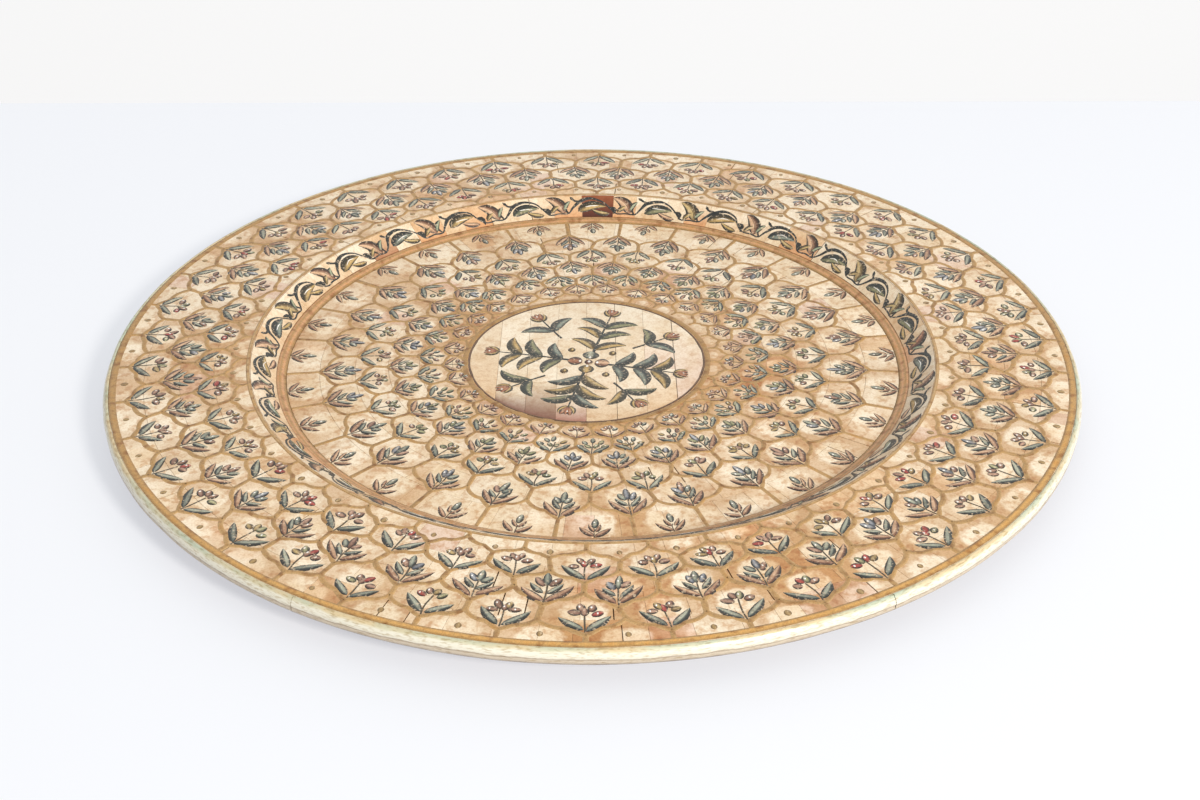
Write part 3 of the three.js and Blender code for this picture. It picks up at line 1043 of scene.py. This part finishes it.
def flower(rng, place):
    """Four petals in slate, brown, ochre and russet, each with two dark lines and a white dab, a
    dot between each two, and one in the middle."""
    layer = Layer()
    petal_tints = (SLATE, BUD, OCHRE, RUSSET)
    for i in range(4):
        angle = i * TURN / 4 + math.pi / 2
        out = np.array([math.cos(angle), math.sin(angle)])
        across = np.array([-out[1], out[0]])
        bud(layer, place, out * 4.2, out * 13.4, 12.0 * rng.uniform(0.92, 1.06),
            (SOFT_INK, *petal_tints[i]), shine=False, steps=11)
        for shift in (-2.2, 2.4):
            leaf(layer, place, out * 6.0 + across * shift, out * 12.0 + across * shift * 0.7, 1.8,
                 (WARM_INK, petal_tints[i][0], petal_tints[i][0]), steps=7)
        dot(layer, place, out * 5.6, 2.4, WHITE, lift=0.3)
        between = angle + math.pi / 4
        spot = np.array([math.cos(between), math.sin(between)]) * 19.0
        dot(layer, place, spot, rng.uniform(5.6, 6.6), (INK, OLIVE[0]))
        dot(layer, place, spot + (0.4, 0.3), 2.4, OLIVE, lift=0.2)
    dot(layer, place, (0, 0), 6.0, (INK, BUD[0]), lift=0.1)
    dot(layer, place, (0.3, 0.3), 2.6, WHITE, lift=0.3)
    layer.build("medallion_flower", PAINT, "bone_veneer")


# -------- rings, edge and core

def ring(name, section, colours, material, slot, replaced=(), centre=(0.0, 0.0), steps=360, wobble=0.0,
         seed=0, sharp=60, sheen_fade=0.0):
    """A turned ring. section lists (radius, height) anticlockwise; colours holds one per point.
    The last argument is how far the colours fade to plain gilt away from the front, which leaves a
    painted sheen on the ring's front."""
    rng = np.random.default_rng(seed)
    angle = np.arange(steps) * TURN / steps
    drift = sum(rng.normal(0, 1 / k) * np.cos(k * angle + rng.uniform(0, TURN)) for k in range(3, 12))
    radius = np.array([p[0] for p in section])[None] + wobble * drift[:, None]
    height = np.broadcast_to([p[1] for p in section], radius.shape)
    rows = np.stack([centre[0] + radius * np.cos(angle)[:, None],
                     centre[1] + radius * np.sin(angle)[:, None], height], -1)
    tints = np.broadcast_to(np.array([tinted(c) for c in colours]), rows.shape[:2] + (4,)).copy()
    # Painted sheen: the colours stay bright at the front and fade to plain gilt round the back.
    fading = sheen_fade * np.clip(2.6 * (1 + np.sin(angle - 0.2)) / 2 - 0.15, 0, 1)[:, None, None]
    tints[..., :3] += (GILT - tints[..., :3]) * fading
    layer = Layer()
    layer.add(rows[:, ::-1], tints[:, ::-1], ring=True)
    layer.build(name, material, slot, replaced, sharp)


def painted_ring(name, inner, outer, top, colour, edge, centre=(0.0, 0.0), wobble=0.15, seed=0,
                 sheen_fade=0.0):
    """A low painted line round the tray, between two radii."""
    section = [(inner, top + SINK), (outer, top + SINK), (outer - 0.35, top + 0.22),
               (outer * 0.6 + inner * 0.4, top + 0.3), (outer * 0.4 + inner * 0.6, top + 0.3),
               (inner + 0.35, top + 0.22)]
    colours = [edge, edge, edge, colour, colour, edge]
    ring(name, section, colours, GILT_RINGS, "gilt_bead", centre=centre, wobble=wobble, seed=seed,
         sheen_fade=sheen_fade)


def bead():
    """The moulding at the wall's foot: a rounded gilt step down to the floor."""
    low = span("wall_foot_bead")[2]
    section = [(BEAD_IN, low), (BEAD_OUT - 1.8, low), (BEAD_OUT - 0.6, BEAD_TOP - 0.1),
               (BEAD_OUT - 2.0, BEAD_TOP + 0.05), (BEAD_OUT - 3.2, BEAD_TOP - 0.25),
               (BEAD_IN + 2.2, BEAD_TOP - 1.1), (BEAD_IN + 0.8, FLOOR_TOP + 0.6),
               (BEAD_IN, FLOOR_TOP + 0.1)]
    # The bead goes darker underneath, at its outer edge and at its foot on the floor: painted shade.
    dark = GILT * 0.6
    colours = [dark, dark, GILT * 0.8, ORANGE * 0.9, GILT, ORANGE, GILT, GILT * 0.8]
    ring("wall_foot_moulding", section, colours, GILT_RINGS, "gilt_bead", ["wall_foot_bead"], seed=5)


# How far the binding's round draws in at top and bottom, how deep its groove is, and the angle
# left open at each end of a length, in radians
BELLY_DEPTH = 2.3
GROOVE_DEPTH = 0.45
END_GAP = 0.0006


def binding():
    """The rounded edge, in the same lengths as the CAD strip, with a shallow groove between its
    pale upper band and its lower one."""
    inner = span(BINDING_NODES[0])[0]
    t = np.linspace(-0.5, 0.5, 13)
    belly = OUTER - BELLY_DEPTH * np.abs(2 * t) ** 2.6
    belly -= GROOVE_DEPTH * np.exp(-((t + 0.06) / 0.05) ** 2)
    height = (RIM_TOP + EDGE_LOW) / 2 + t * (RIM_TOP - EDGE_LOW) + 0.25 * (t > 0.45)
    section = [(inner, EDGE_LOW), *zip(belly, height), (inner + 0.4, RIM_TOP + 0.3),
               (inner, RIM_TOP + 0.05)]
    radius = np.array([p[0] for p in section])[None]
    level = np.array([p[1] for p in section])[None]
    for i, node in enumerate(BINDING_NODES):
        rng = np.random.default_rng([71, i])
        steps = 61
        angle = np.linspace(i, i + 1, steps) * TURN / len(BINDING_NODES)
        angle[0] += END_GAP
        angle[-1] -= END_GAP
        worn = np.interp(np.linspace(0, 1, steps), np.linspace(0, 1, 16), rng.normal(0, 0.12, 16))
        worn[[0, -1]] = 0
        round_part = (radius > inner + 1).astype(float)
        wide = radius - np.abs(worn)[:, None] * round_part
        rows = np.stack([wide * np.cos(angle)[:, None], wide * np.sin(angle)[:, None],
                         np.broadcast_to(level, wide.shape)], -1)
        layer = Layer()
        layer.add(rows[:, ::-1], tinted(CREAM))
        layer.build(node.replace("binding", "strip"), BINDING, "edge_binding", [node], sharp=50)


FOOT = 204.0
FOOT_HEIGHT = 2.5


def core():
    """The turned core, with a softly rounded foot and a hollow cove under the rim."""
    bed = span(FLOOR_NODES[0])[2] - 0.3
    cove = [(FOOT + 1.5 + 16 * (1 - math.cos(a)),
             EDGE_LOW - (EDGE_LOW - FOOT_HEIGHT) * (1 - math.sin(a)))
            for a in np.linspace(0, math.pi / 2, 9)]
    section = [(0.02, 0.0), (FOOT - 1.2, 0.0), (FOOT - 0.4, 0.3), (FOOT + 0.6, 1.0), *cove,
               (CORE_OUT - 1.5, EDGE_LOW), (CORE_OUT, EDGE_LOW + 0.2), (CORE_OUT, CORE_TOP)]
    inner_top = RIM_IN + (CORE_TOP - RIM_TOP) / math.tan(WALL_SLOPE) + 3.1
    inner_low = inner_top - (CORE_TOP - bed) / math.tan(WALL_SLOPE)
    section += [(inner_top, CORE_TOP), (inner_low, bed), (0.02, bed)]
    if len(section) % 2:
        section.insert(2, (FOOT - 0.8, 0.1))
    ring("turned_core", section, [CREAM] * len(section), WOOD, "core_wood", ["tray_core"], steps=240,
         sharp=40)


# -------- the stage

# The table and the wall, in metres: how far the table reaches to the front and to the back, how
# round its far edge is, how far it drops there, where the wall stands, and its lowest and highest
# points. Both are twice SHEET_HALF wide.
TABLE_FRONT, TABLE_END, EDGE_ROUND, TABLE_DROP = -4.0, 0.46, 0.02, -0.8
WALL_PLACE, WALL_FOOT, WALL_HEAD = 3.0, -3.0, 4.0
SHEET_HALF = 5.0
# The glow fills the shadows as a softly lit studio does
STAGE_WHITE = (0.385, 0.377, 0.368, 1)
TABLE_GLOW, WALL_GLOW = 0.57, 0.61
COOL_WHITE = (0.885, 0.925, 1.0, 1)
PLAIN_WHITE = (1.0, 1.0, 1.0, 1)


def stage_material(name, glow, tint):
    """The white of the table and the wall, which lights itself a little."""
    made, shader, _, _ = material(name)
    looks = {"Base Color": STAGE_WHITE, "Roughness": 0.6, "Specular IOR Level": 0.2,
             "Emission Color": tint, "Emission Strength": glow}
    for socket, value in looks.items():
        shader.inputs[socket].default_value = value
    return made


def sheet(name, profile, glow, tint):
    """A wide bent sheet, from its outline in the Y-Z plane."""
    points = [(x, y, z) for y, z in profile for x in (-SHEET_HALF, SHEET_HALF)]
    faces = [(2 * i, 2 * i + 1, 2 * i + 3, 2 * i + 2) for i in range(len(profile) - 1)]
    mesh = bpy.data.meshes.new(name)
    mesh.from_pydata(points, [], faces)
    mesh.shade_smooth()
    mesh.materials.append(stage_material(name + "_white", glow, tint))
    return linked(name, mesh)


def stage():
    """A pale table with a rounded far edge, and a pale wall some way behind it."""
    turns = np.linspace(0, math.pi / 2, 7)
    edge = [(TABLE_END + EDGE_ROUND * math.sin(a), EDGE_ROUND * (math.cos(a) - 1)) for a in turns]
    outline = [(TABLE_FRONT, 0.0), *edge, (TABLE_END + EDGE_ROUND, TABLE_DROP)]
    table = sheet("table", outline, TABLE_GLOW, COOL_WHITE)
    wall = sheet("wall", [(WALL_PLACE, WALL_FOOT), (WALL_PLACE, WALL_HEAD)], WALL_GLOW, PLAIN_WHITE)


def aim(thing, where, target):
    """Stands a lamp or a camera at a place, looking at a target."""
    thing.location = where
    thing.rotation_euler = (Vector(target) - Vector(where)).to_track_quat("-Z", "Y").to_euler()


# The key light's place and width in metres, its power in watts and its colour, and the sky's
KEY_PLACE = (1.59, -2.27, 1.6)
KEY_SIZE = 0.6
KEY_POWER = 95
KEY_COLOUR = (1.0, 0.985, 0.96)
SKY_COLOUR = (0.96, 0.975, 1.0, 1)
SKY_STRENGTH = 0.64


def lights():
    """One soft key light from the front right, and an even sky."""
    world = bpy.data.worlds.new("studio")
    bpy.context.scene.world = world
    world.use_nodes = True
    sky = world.node_tree.nodes["Background"]
    sky.inputs["Color"].default_value = SKY_COLOUR
    sky.inputs["Strength"].default_value = SKY_STRENGTH
    data = bpy.data.lights.new("key", "AREA")
    data.shape = "DISK"
    data.size = KEY_SIZE
    data.energy = KEY_POWER
    data.color = KEY_COLOUR
    aim(linked("key", data), KEY_PLACE, (0, 0, 0))
    bpy.context.scene.view_settings.view_transform = "Standard"


# The camera's place on the tray's own axes: its distance in metres from the middle of the rim
# plane, its elevation, and the point of the rim plane that it looks at
CAMERA_DISTANCE = 1.028
CAMERA_ELEVATION = math.radians(29.8)
CAMERA_AIM = (0.0042, -0.0760)
CAMERA_LENS = 48.0
CAMERA_SENSOR = 36.0


def camera():
    """The scene's camera, in front of the tray and above it."""
    data = bpy.data.cameras.new("camera")
    data.lens = CAMERA_LENS
    data.sensor_width = CAMERA_SENSOR
    data.clip_start = 0.02
    eye = linked("camera", data)
    rim = RIM_TOP * MM
    place = (0, -CAMERA_DISTANCE * math.cos(CAMERA_ELEVATION),
             rim + CAMERA_DISTANCE * math.sin(CAMERA_ELEVATION))
    aim(eye, place, (*CAMERA_AIM, rim))
    bpy.context.scene.camera = eye


# -------- the whole tray

RIM = Lattice(count=44, rows=3, first_radius=RIM_OUT - 9.5, ratio=0.927, phase=-0.12, top=RIM_TOP,
              inner_wash=0.0, seed=11)
FLOOR = Lattice(count=28, rows=5, first_radius=BEAD_IN - 18.8, ratio=0.866, phase=0.5, top=FLOOR_TOP,
                inner_wash=0.36, seed=13)
# How many tiles each row has, from the inside out
RIM_TILE_COUNTS = (76, 80, 86, 92)
FLOOR_TILE_COUNTS = (30, 38, 44, 50, 56, 62)

RIM_BONE = bone_material("rim_bone", RIM)
FLOOR_BONE = bone_material("floor_bone", FLOOR)
PLAIN_BONE = bone_material("plain_bone", stain=0.5)
PAINT = paint_material("brush_paint", low=0.34, high=0.55)
GILT_LINES = gilt_material("gilt_lines", metallic=0.0, low=0.42, high=0.62)
GILT_RINGS = gilt_material("gilt_rings", metallic=0.15, low=0.34, high=0.55)
BINDING = binding_material()
WOOD = wood_material()


def row_at(lattice, radius):
    """The row value of a radius."""
    return math.log(radius / lattice.first) / math.log(lattice.ratio)


core()
binding()
bead()
level_tiles("rim_tiles", RIM_NODES, RIM_IN, RIM_OUT + 0.2, RIM_TILE_COUNTS, RIM_TOP, RIM_BONE, seed=21)
level_tiles("floor_tiles", FLOOR_NODES, MEDALLION_R - 6, FLOOR_OUT + 0.2, FLOOR_TILE_COUNTS, FLOOR_TOP,
            FLOOR_BONE, seed=23)
wall_tiles()
medallion_tiles()

# The border line is bright gilt only at the front: painted sheen.
painted_ring("rim_border_line", RIM_OUT - 4.4, RIM_OUT + 0.1, RIM_TOP, GILT_FRONT_SHEEN, GILT * 0.9,
             seed=1, sheen_fade=0.8)
painted_ring("rim_inner_line", RIM_IN + 0.2, RIM_IN + 2.6, RIM_TOP, GILT_EDGE, GILT, seed=2)
medallion_centre = (MEDALLION_X, MEDALLION_Y)
painted_ring("medallion_band", MEDALLION_R + 1.2, MEDALLION_R + 4.8, FLOOR_TOP, GILT, GILT,
             medallion_centre, wobble=0.3, seed=3)
painted_ring("medallion_outline", MEDALLION_R - 0.5, MEDALLION_R + 1.1, FLOOR_TOP, srgb(128, 98, 74),
             srgb(92, 72, 56), medallion_centre, wobble=0.1, seed=4)

trellis("rim_trellis", RIM, sectors=11, widths=(3.5, 3.1), outer=row_at(RIM, RIM_OUT - 2.0),
        inner=row_at(RIM, RIM_IN + 2), seed=15)
trellis("floor_trellis", FLOOR, sectors=7, widths=(3.0, 2.5), outer=row_at(FLOOR, BEAD_IN - 0.3),
        inner=5.9, seed=17)
plants("rim_plants", RIM, sectors=22, rows=RIM_ROWS, root=0.12, seed=61)
plants("floor_plants", FLOOR, sectors=14, rows=FLOOR_ROWS, root=0.1, seed=63)
scroll()
medallion_painting()

stage()
lights()
camera()
